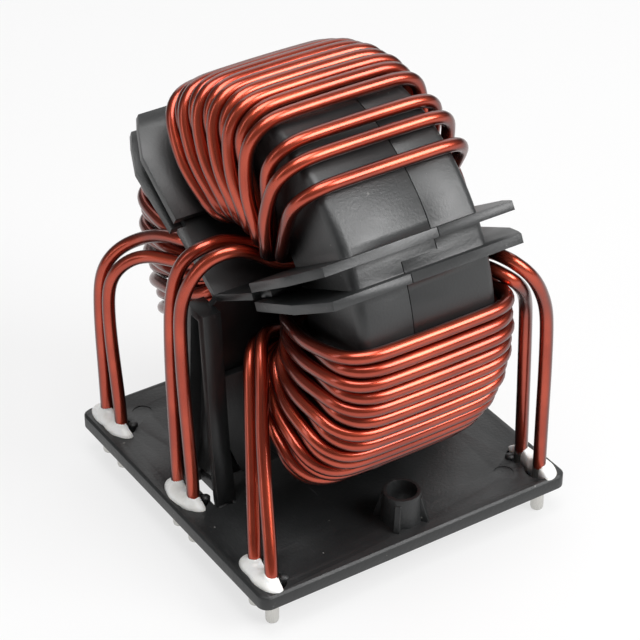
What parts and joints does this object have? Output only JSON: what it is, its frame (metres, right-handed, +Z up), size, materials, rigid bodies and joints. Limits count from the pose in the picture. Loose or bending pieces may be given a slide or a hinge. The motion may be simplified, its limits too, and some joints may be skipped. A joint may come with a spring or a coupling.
{
  "type": "common mode choke",
  "caption": "Ring core choke standing on a square black base plate, wound with pairs of enamelled copper wires whose ends are glued in the base and leave below as solder pins",
  "frame": {"origin": "middle of the base plate at the height of the pin tips", "axes": "+X is the ring axis, +Z is up, away from the circuit board"},
  "size_m": [0.064, 0.0732, 0.0839],
  "materials": {
    "base": "satin, lightly scuffed",
    "case": "satin moulded",
    "core": "sintered, matt",
    "insulator": "satin sheet",
    "enamelled_wire": "glossy enamel over copper, tinned ends",
    "glue": "glossy, slightly translucent"
  },
  "bodies": {
    "root": {"base_plate": "base", "case_front": "case", "case_rear": "case", "ring_core": "core", "star_insulator": "insulator", "wire_near_1": "enamelled_wire", "wire_near_2": "enamelled_wire", "wire_top_1": "enamelled_wire", "wire_top_2": "enamelled_wire", "wire_far_1": "enamelled_wire", "wire_far_2": "enamelled_wire", "glue_front_near": "glue", "glue_front_middle": "glue", "glue_front_far": "glue", "glue_rear_near": "glue", "glue_rear_middle": "glue", "glue_rear_far": "glue"}
  },
  "joints": []
}
